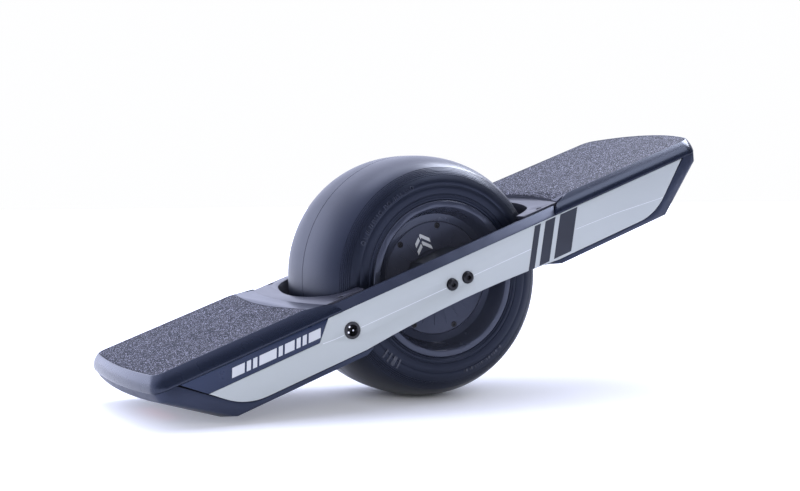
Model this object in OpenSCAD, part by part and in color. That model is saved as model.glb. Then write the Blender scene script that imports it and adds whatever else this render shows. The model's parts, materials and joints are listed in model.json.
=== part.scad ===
// Self-balancing board with one hub-motor wheel, resting on its tail.
// Every piece is drawn in the deck's own level frame: x along the board towards the nose, y across it,
// z square to the deck, origin at the axle's centre. The module tilted() then leans the whole board
// back until its tail and its tyre stand on the floor z = 0.

/* [Board] */
// Distance from the axle to the tip of the nose
nose_length = 396; // [385:1:480]
// Distance from the axle to the end of the tail
tail_length = 382; // [370:1:466]
// Width over the two rail guards
board_width = 236; // [226:1:300]
// Radius of the nose's curved front seen from above
nose_crown_r = 290; // [260:5:900]
// Radius of the tail's curved end seen from above
tail_crown_r = 870; // [260:5:900]
// Radius of the nose's corners
nose_corner_r = 20; // [10:1:24]
// Radius of the tail's corners
tail_corner_r = 16; // [10:1:24]

/* [Wheel] */
// Outer diameter of the tyre
tyre_d = 288; // [282:1:300]
// Width of the tyre
tyre_w = 165; // [140:1:169]
// Squareness of the tyre's crown, 2 is an ellipse
tyre_squareness = 2.6; // [2:0.1:3.4]
// Radius at which the tyre is widest
tyre_side_r = 105; // [100:1:112]
// Thickness of the tyre's casing
tyre_wall = 8; // [5:0.5:11]
// Outer radius of the rim's flange
flange_r = 91.5; // [90:0.5:93]
// Radius of the bead seat
bead_r = 86; // [85:0.5:87]
// Radius of the step that holds the motor cover
cover_r = 66.7; // [66.2:0.1:69]
// Distance from the centre plane to the motor cover's outer face
cover_y = 61; // [58:0.5:64]

/* [Motor] */
// Outer radius of the stator
stator_r = 55; // [50:0.5:55.5]
// Half length of the stator's iron
stator_half = 27; // [20:1:30]
// Number of stator teeth
teeth = 24; // [12:3:30]
// Number of magnets
magnet_count = 28; // [20:2:36]
// Thickness of a magnet
magnet_t = 4; // [3:0.5:4]
// Radius of the axle in its bearings
axle_r = 10; // [8:0.5:11]
// Outer radius of a bearing
bearing_r = 23.5; // [21:0.5:26]
// Width of a bearing
bearing_w = 14; // [10:1:15]
// Screws on each motor cover
cover_screws_n = 7; // [5:1:10]

/* [Rails] */
// Thickness of one rail
rail_t = 20.8; // [18:0.2:22]
// Height of the rail's side face above the axle
rail_top = 24; // [22:0.5:27]
// Depth of the rail's side face below the axle
rail_bottom = 27.5; // [26:0.5:30]
// Rise of the arch under the wheel
arch_rise = 5.9; // [2:0.1:8]
// Half length of the arch
arch_half = 135; // [110:1:150]
// Distance from the axle to a rail's tip
rail_tip = 347; // [335:1:352]
// Angle of the rail's slanted end
rail_end_angle = 40.4; // [36:0.1:46]
// Radius between the slanted end and the bottom edge
rail_corner_r = 69; // [30:1:90]
// Thickness of the outer skin beside the pockets
rail_skin = 4; // [3:0.5:6]
// Thickness of a rail guard
guard_t = 1.2; // [0.8:0.1:2]

/* [Deck] */
// Height of the grip tape's top
deck_top = 41.3; // [40:0.1:46]
// Thickness of the grip tape
grip_t = 1.3; // [0.8:0.1:2]
// Thickness of the pad's top skin
pad_skin = 5; // [3:0.5:6]
// Half width of the grip tape
pad_half = 107; // [100:0.5:108]
// Distance from the axle to the seam between pad and wheel surround
seam_x = 172; // [168:1:178]
// Radius of that seam
seam_r = 500; // [300:10:900]
// Start of the tail's grip tape
tail_grip_x = 195; // [188:1:215]
// Height of the wheel surround
surround_top = 35.8; // [34:0.1:37]
// Half length of the wheel opening
opening_half = 155; // [151:0.5:157]
// Half width of the wheel opening
opening_side = 89.5; // [88:0.5:92]

/* [Underside] */
// Depth of the flat underside below the axle
keel = 44; // [43:0.5:50]
// Distance from the axle to the underside's end
keel_x = 300; // [285:1:320]
// Half width of the flat part of the underside
keel_half = 56; // [45:1:80]
// Wall of the lower bumper
skid_wall = 3; // [2:0.5:4]
// Distance from the axle to the boxes' inner wall
box_x = 160; // [158:0.5:165]
// Wall of the battery and controller boxes
box_wall = 3; // [2:0.5:4]

/* [Fittings] */
// Half the distance between the two axle bolts on a side
bolt_x = 10.8; // [10:0.1:15]
// Radius of an axle bolt's head
bolt_head_r = 6.5; // [5.5:0.1:8]
// Distance of the charge port and the power button from the axle
port_x = 145; // [130:1:148]
// Radius of their bezels
port_r = 9.4; // [9:0.1:11]
// Travel of the power button
button_travel = 1.5; // [0.5:0.1:2]

/* [Hidden] */
$fn = 96;

fit = 0.1;                               // gap between pieces that are fastened together
running = 0.05;                          // radial gap of a running fit
eps = 1;                                 // overshoot of a cut

half_w = board_width / 2;
wheel_r = tyre_d / 2;
rail_face = half_w - guard_t;            // outer face of a rail
rail_in = rail_face - rail_t;            // inner face of a rail
pocket_in = rail_face - rail_skin;

// The board leans until the underside's rear edge and the tyre touch the same floor
reach = norm([keel_x, keel]);
tilt = asin(wheel_r / reach) - atan(keel / keel_x);

// Vertical band of the bumper's end, which sets the outline's ends
band_low = rail_top + 0.3;
band_high = 31;
origin_x = ((tail_length - nose_length) * cos(tilt) + (band_low + band_high) * sin(tilt)) / 2;

strip_top = 33.5;                        // top of the rail's middle strip
strip_in = half_w - 9;
ledge = 31;                              // step that carries the surround's arms
ledge_out = pad_half + 0.2;
arm_x_top = 156;                         // seam between rail strip and bumper
arm_x_low = 148;
opening_crown_r = 190;
opening_corner_r = 32;
arm_end = 112;                           // where the surround's arms stop
skirt_low = 12;                          // lower edge of the surround's skirt
ramp_x = seam_x - 13;                    // low end of the footpad's ramp
far = nose_length + tail_length;         // beyond every end

// An end of the board: length, crown radius, corner radius, inset of its top edge, end of its ramp
NOSE = [nose_length, nose_crown_r, nose_corner_r, 3, seam_x + 6];
TAIL = [tail_length, tail_crown_r, tail_corner_r, 8.5, tail_grip_x - 5];
rim = 2.5;                               // bumper's top edge beside the footpad

strip_z = -33;                           // lower edge of the skid's side strips
nose_low = 13;                           // lower edge of the skid's upright nose
skid_inset = 4;                          // how far the skid stays behind the bumper

box_half = rail_in - 2;
box_low = strip_z;
box_top = 20;
box_end = rail_tip - 1;
lid_t = 3;
seal_t = 1;
box_keel = keel_x - 14;
cell_r = 10.6;
cell_l = 70;
cell_pitch = 21.7;

block_half = 34;                         // half length of an axle block
block_top = 30;
block_low = -20;
block_in = cover_y + 2.5;
axle_end = 84;
shoulder_r = axle_r + 4;                 // thick middle of the axle, which carries the stator

cable_r = 3.5;
cable_y = tyre_w / 2 + cable_r + 2;
cable_z = -12;
plug_y = cable_y - 3;
bolt_r = 4;
bolt_tip = 92.5;

shell_bore = 66;
ledge_r = 57;                            // inner radius of the ledge behind a cover
cover_t = 4.2;
cover_seat = cover_y - cover_t;
bearing_y = cover_seat - 1.6 - bearing_w; // inner face of a bearing
shoulder_y = bearing_y - 0.4;
magnet_r = stator_r + 1.2;               // distance from the axis to a magnet's face
tip_t = 4;                               // thickness of the teeth's tips
coil_in = 36;                            // radius at which the coils start
coil_out = stator_r - tip_t - 0.8;
coil_half = coil_in * tan(180 / teeth) - 0.8;
leg_t = coil_half * 0.38;                // thickness of a coil's leg
tooth_half = coil_half - leg_t - 0.2;
cover_screw_r = 61.5;
valve_r = 76.2;

box_screw_x = [200, 285];
pad_screw_x = [178, 242, 322];
surround_screw = [138, 101];

// ---- helpers -------------------------------------------------------------------------------

// Leans the level board back onto its tail
module tilted() {
    translate([origin_x, 0, wheel_r]) rotate([0, -tilt, 0]) children();
}

// Turns a piece drawn for the nose round to the tail
module at_tail() {
    rotate([0, 0, 180]) children();
}

// Extrudes a side outline, given as x and z, across the board between two y values
module across(y0, y1) {
    translate([0, y1, 0]) rotate([90, 0, 0]) linear_extrude(y1 - y0) children();
}

// Cylinder along y between two y values
module pin_y(r, y0, y1) {
    translate([0, y0, 0]) rotate([-90, 0, 0]) cylinder(r = r, h = y1 - y0);
}

// Revolves a section, given as radius and y, about the axle
module spun() {
    rotate([90, 0, 0]) rotate_extrude() mirror([0, 1]) children();
}

function arc(cx, cy, r, a0, a1, n) =
    [for (i = [0:n]) let(a = a0 + (a1 - a0) * i / n) [cx + r * cos(a), cy + r * sin(a)]];

function flip_y(points) = [for (i = [len(points) - 1:-1:0]) [points[i][0], -points[i][1]]];

// Plan outline that starts at x0, is 2w wide and ends at xe in a bulge with round corners
function end_outline(x0, w, xe, crown_r, r) =
    let(
        cc = xe - crown_r,
        cx = cc + sqrt(pow(crown_r - r, 2) - pow(w - r, 2)),
        at = atan2(w - r, cx - cc),
        side = concat([[x0, w]], arc(cx, w - r, r, 90, at, 6), arc(cc, 0, crown_r, at, 0, 8))
    )
    concat(side, [for (p = flip_y(side)) if (p[1] < 0) p]);

// Side outline of a rail's lower part, grown outwards by g
function rail_side(g) =
    let(
        low = -rail_bottom - g,
        tip = rail_tip + g / sin(rail_end_angle),
        corner = tip - (rail_top - low) / tan(rail_end_angle),
        t = rail_corner_r * tan(rail_end_angle / 2),
        bend = arc(corner - t, low + rail_corner_r, rail_corner_r, 270, 270 + rail_end_angle, 8),
        arch = [for (i = [-8:8]) let(x = arch_half * i / 8) [x, low + arch_rise * (1 - pow(i / 8, 2))]]
    )
    concat([[-tip, rail_top + g]], [for (i = [8:-1:0]) [-bend[i][0], bend[i][1]]],
           arch, bend, [[tip, rail_top + g]]);

// Tyre's outer curve from the crown to the widest point, shrunk by t
function tyre_curve(t, n) =
    [for (i = [0:n]) let(a = 90 * i / n)
        [tyre_side_r + (wheel_r - t - tyre_side_r) * pow(cos(a), 2 / tyre_squareness),
         (tyre_w / 2 - t) * pow(sin(a), 2 / tyre_squareness)]];

// ---- rails and their covers -----------------------------------------------------------------

module box_screw_holes(r, y0, y1) {
    for (s = [-1, 1], x = box_screw_x) translate([s * x, 0, -5]) pin_y(r, y0, y1);
}

// One rail on the side y > 0
module rail() {
    difference() {
        union() {
            difference() {
                across(rail_in, rail_face) polygon(rail_side(0));
                across(rail_in - eps, pocket_in) rail_pockets();
            }
            box_screw_holes(8, rail_in, pocket_in + eps);
            translate([-port_x, 0, 0]) pin_y(port_r + 3, rail_in, pocket_in + eps);
            translate([port_x, 0, 0]) pin_y(port_r + 3, rail_in, pocket_in + eps);
            rail_strip();
        }
        for (s = [-1, 1]) translate([s * bolt_x, 0, 0]) pin_y(bolt_r + fit, rail_in - eps, half_w);
        box_screw_holes(3 + fit, rail_in - eps, half_w);
        box_screw_holes(5.5, rail_face - 3.2, half_w);
        for (s = [-1, 1], x = pad_screw_x)
            translate([s * x, pad_screw_y(), -rail_bottom + 8]) {
                cylinder(r = 2 + fit, h = 2 * rail_bottom);
                cylinder(r = 4, h = rail_bottom + rail_top - 14);
            }
        for (s = [-1, 1])
            translate([s * surround_screw[0], surround_screw[1], ledge - 14]) cylinder(r = 1.5, h = 15);
    }
}

function pad_screw_y() = rail_in + 6;

module rail_pockets() {
    low = -rail_bottom + 5;
    for (s = [-1, 1]) {
        translate([s * 41, low + arch_rise - 1]) mirror([s < 0 ? 1 : 0, 0])
            square([108, rail_top - 6 - low - arch_rise + 1]);
        translate([s * 156, low]) mirror([s < 0 ? 1 : 0, 0]) square([66, rail_top - 6 - low]);
        translate([s * 228, low]) mirror([s < 0 ? 1 : 0, 0]) square([48, rail_top - 6 - low]);
    }
}

// Strip along the wheel with a sloping shoulder and a ledge for the surround
module rail_strip() {
    section = [[rail_in, rail_top - 0.5], [rail_face, rail_top - 0.5], [rail_face, rail_top],
               [rail_face - 0.2, rail_top + 0.4], [strip_in, strip_top], [ledge_out, strip_top],
               [ledge_out, ledge], [rail_in, ledge]];
    intersection() {
        translate([-arm_x_top - eps, 0, 0]) rotate([90, 0, 90])
            linear_extrude(2 * (arm_x_top + eps)) polygon(section);
        across(rail_in - eps, half_w)
            polygon([[-arm_x_low, rail_top - 2], [arm_x_low, rail_top - 2], [arm_x_low, rail_top + 2],
                     [arm_x_top, 36], [-arm_x_top, 36], [-arm_x_low, rail_top + 2]]);
    }
}

module right_rail() {
    color("#20242c") tilted() difference() {
        mirror([0, 1, 0]) rail();
        port_hole(-1);
    }
}

module left_rail() {
    color("#20242c") tilted() difference() {
        rail();
        port_hole(1);
    }
}

// Hole for the charge port (side -1) or the power switch (side 1)
module port_hole(side) {
    translate([side * port_x, 0, 0])
        pin_y(port_r - 1.4 + fit, side < 0 ? -half_w - eps : rail_in - eps, side < 0 ? -rail_in + eps : half_w + eps);
}

badge_low = 2.3;                         // boundary between guard and badge panel
badge_x_top = 166;
badge_x_low = 186;

// Region of the badge panel at the tail, seen from the side
module badge_region(g) {
    polygon([[-badge_x_top - g, rail_top + eps], [-badge_x_low - g, badge_low + g],
             [-far, badge_low + g], [-far, rail_top + eps]]);
}

module guard(side) {
    y0 = side < 0 ? -half_w : rail_face;
    difference() {
        across(y0, y0 + guard_t) intersection() {
            polygon(rail_side(-0.4));
            difference() {
                square([2 * far, 4 * rail_bottom], center = true);
                badge_region(-0.15);
            }
        }
        for (s = [-1, 1]) translate([s * bolt_x, 0, 0]) pin_y(bolt_head_r + 0.8, -half_w - eps, half_w + eps);
        translate([side * port_x, 0, 0]) pin_y(port_r + 0.3, -half_w - eps, half_w + eps);
    }
}

module right_rail_guard() {
    color("#b3babf") tilted() guard(-1);
}

module left_rail_guard() {
    color("#b3babf") tilted() guard(1);
}

module badge_panel(side) {
    y0 = side < 0 ? -half_w : rail_face;
    across(y0, y0 + guard_t) intersection() {
        polygon(rail_side(-0.4));
        badge_region(0.15);
    }
}

module right_badge_panel() {
    color("#1b2436") tilted() badge_panel(-1);
}

module left_badge_panel() {
    color("#1b2436") tilted() badge_panel(1);
}

// ---- bumpers and skids ----------------------------------------------------------------------

function pad_end(e) = e[0] - e[3] - rim;

// Plan of an end, w to each side of the centre line and inset from the bumper's outer edge
function end_plan(e, x0, w, inset) = end_outline(x0, w, e[0] - inset, e[1], e[2] - min(inset, 4));

// Upper bumper of end e: two arms on the rails, ramped at the wheel, and a round end
module bumper(e) {
    difference() {
        hull() {
            translate([0, 0, band_low]) linear_extrude(band_high - band_low)
                polygon(end_plan(e, arm_x_low, half_w, 0));
            translate([0, 0, deck_top - 0.4]) linear_extrude(0.4)
                polygon(end_plan(e, arm_x_low, pad_half + 1.5, e[3]));
        }
        translate([0, 0, band_low - eps]) linear_extrude(deck_top)
            polygon(end_plan(e, 0, pad_half + 0.3, e[3] + rim - 0.3));
        across(-half_w - eps, half_w + eps)
            polygon([[0, rail_top - eps], [arm_x_low + 0.6, rail_top - eps], [arm_x_low + 0.6, rail_top + 2],
                     [arm_x_top + 0.6, surround_top], [e[4], deck_top], [e[4], deck_top + eps], [0, deck_top + eps]]);
    }
}

module front_bumper() {
    color("#141820") tilted() bumper(NOSE);
}

module rear_bumper() {
    color("#141820") tilted() at_tail() bumper(TAIL);
}

// Shallow hull shape shared by the skid's outside (g = 0) and its hollow (g = wall)
module skid_hull(e, g) {
    side = g > 0 ? rail_in - 1 : half_w - 0.5;
    low = strip_z - (g > 0 ? (half_w - side) * (keel + strip_z) / (half_w - keel_half) : 0);
    start = g > 0 ? arch_half - 40 : 0;
    hull() {
        translate([0, 0, nose_low]) linear_extrude(rail_top - nose_low + (g > 0 ? 20 : 0))
            polygon(end_plan(e, keel_x - 20, side, skid_inset + 3 * g));
        translate([g > 0 ? start : arch_half - 8, -side, -rail_bottom - 1]) cube([keel_x - arch_half, 2 * side, 0.5]);
        translate([g > 0 ? start : arch_half + 2, -side, low + g]) cube([keel_x - (g > 0 ? start + g : arch_half + 2), 2 * side, 0.5]);
        translate([g > 0 ? start : arch_half + 15, -keel_half, -keel + g])
            cube([keel_x - (g > 0 ? start + g : arch_half + 15), 2 * keel_half, 0.5]);
        if (g > 0) translate([start, -side, 0]) cube([10, 2 * side, rail_top + 20]);
    }
}

// Lower bumper: a tray under the box with side strips beneath the rails and an upright nose
module skid(e) {
    difference() {
        union() {
            difference() {
                skid_hull(e, 0);
                skid_hull(e, skid_wall);
            }
            at_skid_screws() cylinder(r = 6, h = keel + box_low - 0.3);
        }
        for (y = [rail_in - 1 - eps, -half_w - eps])
            across(y, y + half_w - rail_in + 1 + 2 * eps) polygon(concat(rail_side(0.3), [[0, rail_top + 20]]));
        lens_block(e, 0.1, -6, 8);
        at_skid_screws() translate([0, 0, -eps]) cylinder(r = 2 + fit, h = keel);
        at_skid_screws() translate([0, 0, -eps]) cylinder(r = 4.2, h = 2.6);
    }
}

// Places of an end's skid screws, with z = 0 at the underside
module at_skid_screws() {
    for (x = box_screw_x, s = [-1, 1]) translate([x - 20, s * 40, -keel]) children();
}

function slope(e) = atan((nose_low + keel) / (e[0] - skid_inset - keel_x));
function lens_mid(e) =
    [(keel_x + e[0] - skid_inset) / 2 + 6, (nose_low - keel) / 2 + 6 * tan(slope(e))];

// Block on the skid's sloping face, grown by g, from z0 to z1 square to the slope
module lens_block(e, g, z0, z1) {
    translate([lens_mid(e)[0], 0, lens_mid(e)[1]]) rotate([0, -slope(e), 0])
        translate([-8 - g, -45 - g, z0]) cube([16 + 2 * g, 90 + 2 * g, z1 - z0]);
}

module front_skid() {
    color("#2a2f3b") tilted() skid(NOSE);
}

module rear_skid() {
    color("#2a2f3b") tilted() at_tail() skid(TAIL);
}

module front_light_lens() {
    color("#f2f4f6") tilted() lens_block(NOSE, 0, 0.3, 3);
}

module rear_light_lens() {
    color("#b8202a") tilted() at_tail() lens_block(TAIL, 0, 0.3, 3);
}

// Circuit strip behind a lens with a row of lamps
module light_board(e) {
    translate([lens_mid(e)[0], 0, lens_mid(e)[1]]) rotate([0, -slope(e), 0]) {
        translate([-6, -42, 4]) cube([12, 84, 1.2]);
        for (i = [-3:3]) translate([-1.75, i * 11 - 1.75, 3.2]) cube([3.5, 3.5, 1.2]);
    }
}

module front_light_board() {
    color("#1f5a34") tilted() light_board(NOSE);
}

module rear_light_board() {
    color("#1f5a34") tilted() at_tail() light_board(TAIL);
}

module skid_screws() {
    color("#14161a") tilted() for (e = [0, 180]) rotate([0, 0, e]) at_skid_screws() {
        translate([0, 0, 0.2]) cylinder(r = 4, h = 1.3);
        translate([0, 0, 0.2]) cylinder(r = 2, h = box_low + keel + box_wall - 0.4);
    }
}

// ---- footpads, grip tape and wheel surround --------------------------------------------------

// Plan of an end's pad, outside an arc that crosses the centre line at x
module pad_plan(e, x) {
    difference() {
        polygon(end_plan(e, arm_x_low, pad_half, e[3] + rim));
        translate([x - seam_r, 0]) circle(r = seam_r, $fn = 240);
    }
}

// Side outline of an end's deck surface between two depths below it
function deck_side(e, t0, t1) =
    [[ramp_x - 20, surround_top - t1], [ramp_x, surround_top - t1], [e[4], deck_top - t1], [far, deck_top - t1],
     [far, deck_top - t0], [e[4], deck_top - t0], [ramp_x, surround_top - t0], [ramp_x - 20, surround_top - t0]];

// Corners beside the bumper's arms where the nose's tape is cut away
module tape_corners() {
    for (s = [-1, 1]) polygon([[0, s * (pad_half - 14)], [ramp_x + 4, s * (pad_half - 14)], [NOSE[4], s * (pad_half + eps)],
                               [0, s * (pad_half + eps)]]);
}

// Region under an end's tape, shrunk by g
module tape_plan(e, g) {
    if (e == TAIL) pad_plan(e, tail_grip_x + g);
    else difference() {
        pad_plan(e, seam_x);
        translate([g, 0]) tape_corners();
    }
}

// Pad with a ramp at the wheel, hollow below, recessed for its tape and carried by the rails
module footpad(e) {
    difference() {
        translate([0, 0, rail_top + 0.3]) linear_extrude(deck_top) pad_plan(e, seam_x);
        across(-half_w, half_w) polygon(deck_side(e, -far, 0));
        intersection() {
            linear_extrude(2 * deck_top) tape_plan(e, 0);
            across(-half_w, half_w) polygon(deck_side(e, -eps, grip_t));
        }
        for (x = [seam_x + 8, seam_x + 74, seam_x + 140])
            translate([x, -rail_in + 2, rail_top - eps])
                cube([min(60, pad_end(TAIL) - 26 - x), 2 * rail_in - 4, deck_top - grip_t - pad_skin - rail_top + eps]);
        for (s = [-1, 1], x = pad_screw_x)
            translate([x, s * pad_screw_y(), rail_top - eps]) cylinder(r = 2, h = 10);
    }
}

module front_footpad() {
    color("#2b2e36") tilted() footpad(NOSE);
}

module rear_footpad() {
    color("#2b2e36") tilted() at_tail() footpad(TAIL);
}

// Gritty tape that fills the pad's recess
module grip_tape(e) {
    intersection() {
        linear_extrude(2 * deck_top) tape_plan(e, 0.3);
        across(-half_w, half_w) polygon(deck_side(e, 0, grip_t - 0.35));
    }
}

module front_grip_tape() {
    color("#3a3b40") tilted() grip_tape(NOSE);
}

module rear_grip_tape() {
    color("#3a3b40") tilted() at_tail() grip_tape(TAIL);
}

// Two pressure films side by side under the front tape
module footpad_sensor() {
    color("#c9a24a") tilted() for (s = [-1, 1])
        translate([seam_x + 16, s > 0 ? 4 : -96, deck_top - grip_t + 0.05]) cube([160, 92, 0.25]);
}

module footpad_screws() {
    color("#8d9096") tilted() for (e = [-1, 1], s = [-1, 1], x = pad_screw_x)
        translate([e * x, s * pad_screw_y(), 0]) {
            translate([0, 0, rail_top - 10]) cylinder(r = 3.5, h = 3.8);
            translate([0, 0, rail_top - 7]) cylinder(r = 2, h = 15);
        }
}

function opening(g) = end_outline(0, opening_side + g, opening_half + g, opening_crown_r + g, opening_corner_r + g);

// Half of the trim around the wheel: a plate on the ledges with a skirt around the opening
module surround() {
    difference() {
        union() {
            translate([0, 0, ledge + 0.1]) linear_extrude(surround_top - ledge - 0.1) intersection() {
                translate([arm_end, -pad_half]) square([seam_x, 2 * pad_half]);
                translate([seam_x - 0.4 - seam_r, 0]) circle(r = seam_r, $fn = 240);
            }
            translate([0, 0, skirt_low]) linear_extrude(ledge - skirt_low + 1) intersection() {
                polygon(opening(2.2));
                translate([arm_end + 8, -half_w]) square([seam_x, board_width]);
            }
        }
        translate([0, 0, skirt_low - eps]) linear_extrude(surround_top) polygon(opening(0));
        for (s = [-1, 1]) translate([surround_screw[0], s * surround_screw[1], ledge - eps]) {
            cylinder(r = 2, h = 10);
            translate([0, 0, 3.5]) cylinder(r = 3.6, h = 10);
        }
    }
}

module front_wheel_surround() {
    color("#4b4c5c") tilted() surround();
}

module rear_wheel_surround() {
    color("#4b4c5c") tilted() at_tail() surround();
}

module surround_screws() {
    color("#101114") tilted() for (e = [-1, 1], s = [-1, 1])
        translate([e * surround_screw[0], s * surround_screw[1], ledge]) {
            translate([0, 0, 2.6]) cylinder(r = 3.3, h = 1.6);
            translate([0, 0, -11]) cylinder(r = 1.4, h = 14);
        }
}

// ---- battery and controller -----------------------------------------------------------------

// Side outline of a box, shrunk by g and open or closed at the height top
function box_side(g, top) =
    [[box_x + g, box_low + g], [box_keel - g * 0.4, box_low + g], [box_end - g, 10 - g * 0.4],
     [box_end - g, top], [box_x + g, top]];

// Open box between the rails with a hole for the cables in its inner wall
module box_case() {
    difference() {
        union() {
            difference() {
                across(-box_half, box_half) polygon(box_side(0, box_top));
                across(-box_half + box_wall, box_half - box_wall) polygon(box_side(box_wall, box_top + eps));
            }
            for (s = [-1, 1], x = box_screw_x) translate([x, 0, -5])
                pin_y(5, s < 0 ? -box_half + 0.5 : box_half - 9, s < 0 ? -box_half + 9 : box_half - 0.5);
        }
        for (s = [-1, 1], x = box_screw_x) translate([x, 0, -5])
            pin_y(3, s < 0 ? -box_half - eps : box_half - 8, s < 0 ? -box_half + 8 : box_half + eps);
        for (s = [-1, 1])
            translate([box_x - eps, s * plug_y, cable_z]) rotate([0, 90, 0]) cylinder(r = 5.2, h = box_wall + 2 * eps);
        for (x = box_screw_x, s = [-1, 1])
            translate([x - 20, s * 40, box_low - eps]) cylinder(r = 2 + fit, h = box_wall + 2 * eps);
    }
}

module box_lid() {
    difference() {
        translate([box_x, -box_half, box_top + seal_t + 0.1]) cube([box_end - box_x, 2 * box_half, lid_t]);
        for (p = lid_screw_places()) translate([p[0], p[1], box_top]) cylinder(r = 1.6, h = 10);
    }
}

function lid_screw_places() =
    [for (x = [box_x + 1.5, box_end - 1.5], y = [-70, -25, 25, 70]) [x, y]];

module box_seal() {
    difference() {
        translate([box_x + 0.4, -box_half + 0.4, box_top + 0.05]) cube([box_end - box_x - 0.8, 2 * box_half - 0.8, seal_t]);
        translate([box_x + box_wall - 0.2, -box_half + box_wall - 0.2, box_top - eps])
            cube([box_end - box_x - 2 * box_wall + 0.4, 2 * box_half - 2 * box_wall + 0.4, 4]);
    }
}

module battery_case() {
    color("#1c1d21") tilted() at_tail() box_case();
}

module battery_lid() {
    color("#24262c") tilted() at_tail() box_lid();
}

module battery_seal() {
    color("#6b2f25") tilted() at_tail() box_seal();
}

// Two rows of round cells lying across the board, five below and seven above
module battery_cells() {
    color("#3d6fa5") tilted() at_tail() for (layer = [0, 1], i = [0:4 + 2 * layer], s = [0, 1])
        translate([box_x + box_wall + cell_r + 0.9 + i * cell_pitch, 0, box_low + box_wall + cell_r + 0.1 + layer * cell_pitch])
            pin_y(cell_r, s > 0 ? 1.5 : -1.5 - cell_l, s > 0 ? 1.5 + cell_l : -1.5);
}

// Management board above the cells with its transistors and its plug
module battery_board() {
    z = box_low + box_wall + 2 * cell_r + cell_pitch + 0.4;
    color("#1f5a34") tilted() at_tail() {
        translate([box_x + 12, -60, z]) cube([120, 120, 1.6]);
        for (i = [0:6]) translate([box_x + 18 + i * 15, -50, z + 1.6]) cube([9, 6, 3]);
        translate([box_x + 20, 20, z + 1.6]) cube([30, 24, 5]);
    }
}

module controller_case() {
    color("#1c1d21") tilted() box_case();
}

module controller_lid() {
    color("#24262c") tilted() box_lid();
}

module controller_seal() {
    color("#6b2f25") tilted() box_seal();
}

// Power board with capacitors and transistors along the heat-sinking floor
module controller_board() {
    z = box_low + box_wall;
    color("#1f5a34") tilted() {
        for (x = [box_x + 22, box_x + 112], y = [-50, 50]) translate([x, y, z]) cylinder(r = 4, h = 5);
        translate([box_x + 10, -70, z + 5]) cube([114, 140, 2]);
        for (i = [0:3]) translate([box_x + 24, -45 + i * 30, z + 7]) cylinder(r = 9, h = 28);
        for (i = [0:5]) translate([box_x + 56, -60 + i * 22, z + 7]) cube([16, 10, 5]);
        translate([box_x + 84, -30, z + 7]) cube([30, 60, 9]);
    }
}

module lid_screws() {
    color("#8d9096") tilted() for (e = [0, 180]) rotate([0, 0, e]) for (p = lid_screw_places())
        translate([p[0], p[1], box_top + seal_t + lid_t + 0.1 - 2.6]) cylinder(r = 1.5, h = 2.6);
}

module case_screws() {
    color("#14161a") tilted() for (m = [0, 1]) mirror([0, m, 0]) {
        box_screw_holes(5.2, rail_face - 3, rail_face - 0.2);
        box_screw_holes(2.9, box_half - 7, rail_face - 2);
    }
}

// ---- axle and motor --------------------------------------------------------------------------

// Hollow towards the left, where the motor's cable leaves it
module axle() {
    color("#9a9da3") tilted() difference() {
        union() {
            pin_y(axle_r, -axle_end, axle_end);
            pin_y(shoulder_r, -shoulder_y, shoulder_y);
        }
        pin_y(cable_r + 1, stator_half + 2, axle_end + eps);
        translate([0, stator_half + 2 + cable_r + 1, 0]) cylinder(r = cable_r + 1, h = 20);
    }
}

// Block that holds the axle's end and is bolted to the rail, side y > 0
module axle_block() {
    difference() {
        across(block_in, rail_in - fit) polygon([
            [-block_half, block_low], [block_half, block_low], [block_half, block_top - 9],
            [block_half - 9, block_top], [9 - block_half, block_top], [-block_half, block_top - 9]]);
        pin_y(axle_r + fit / 2, block_in - eps, axle_end + 0.2);
        for (s = [-1, 1]) translate([s * bolt_x, 0, 0]) pin_y(bolt_r + fit / 2, bolt_tip - 1, rail_in);
    }
}

// The battery lead runs straight through this block
module right_axle_block() {
    color("#3a3d44") tilted() mirror([0, 1, 0]) difference() {
        axle_block();
        translate([-block_half - eps, cable_y, cable_z]) rotate([0, 90, 0])
            cylinder(r = cable_r + 0.8, h = 2 * (block_half + eps));
    }
}

module left_axle_block() {
    color("#3a3d44") tilted() difference() {
        axle_block();
        translate([0, cable_y, cable_z - cable_r - 1]) cylinder(r = cable_r + 0.8, h = 2 * cable_r + 2 - cable_z);
        translate([0, cable_y, cable_z]) rotate([0, 90, 0]) cylinder(r = cable_r + 0.8, h = block_half + eps);
        pin_y(cable_r + 0.8, axle_end - eps, cable_y);
    }
}

module axle_bolts() {
    color("#0c0d10") tilted() for (m = [0, 1], s = [-1, 1]) mirror([0, m, 0]) translate([s * bolt_x, 0, 0])
        difference() {
            union() {
                pin_y(bolt_r, bolt_tip, rail_face + 1);
                pin_y(bolt_head_r, rail_face + 0.05, half_w + 2.4);
                translate([0, half_w + 2.4 - 0.01, 0]) rotate([-90, 0, 0]) cylinder(r1 = bolt_head_r, r2 = bolt_head_r - 1.6, h = 0.9);
            }
            translate([0, half_w, 0]) rotate([-90, 0, 0]) cylinder(r = 2.9, h = 6, $fn = 6);
        }
}

// Iron core: a ring on the axle, straight teeth and wider tips with narrow slots between them
module stator_core() {
    color("#6c6f75") tilted() difference() {
        union() {
            pin_y(coil_in - 2, -stator_half, stator_half);
            for (i = [0:teeth - 1]) rotate([0, i * 360 / teeth, 0])
                translate([-tooth_half, -stator_half, coil_in - 6])
                    cube([2 * tooth_half, 2 * stator_half, stator_r - tip_t - coil_in + 7]);
            difference() {
                pin_y(stator_r, -stator_half, stator_half);
                pin_y(stator_r - tip_t, -stator_half - eps, stator_half + eps);
            }
        }
        pin_y(shoulder_r + fit / 2, -stator_half - eps, stator_half + eps);
        for (i = [0:teeth - 1]) rotate([0, (i + 0.5) * 360 / teeth, 0])
            translate([-1.2, -stator_half - eps, stator_r - tip_t - eps]) cube([2.4, 2 * (stator_half + eps), 3 * tip_t]);
    }
}

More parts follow.
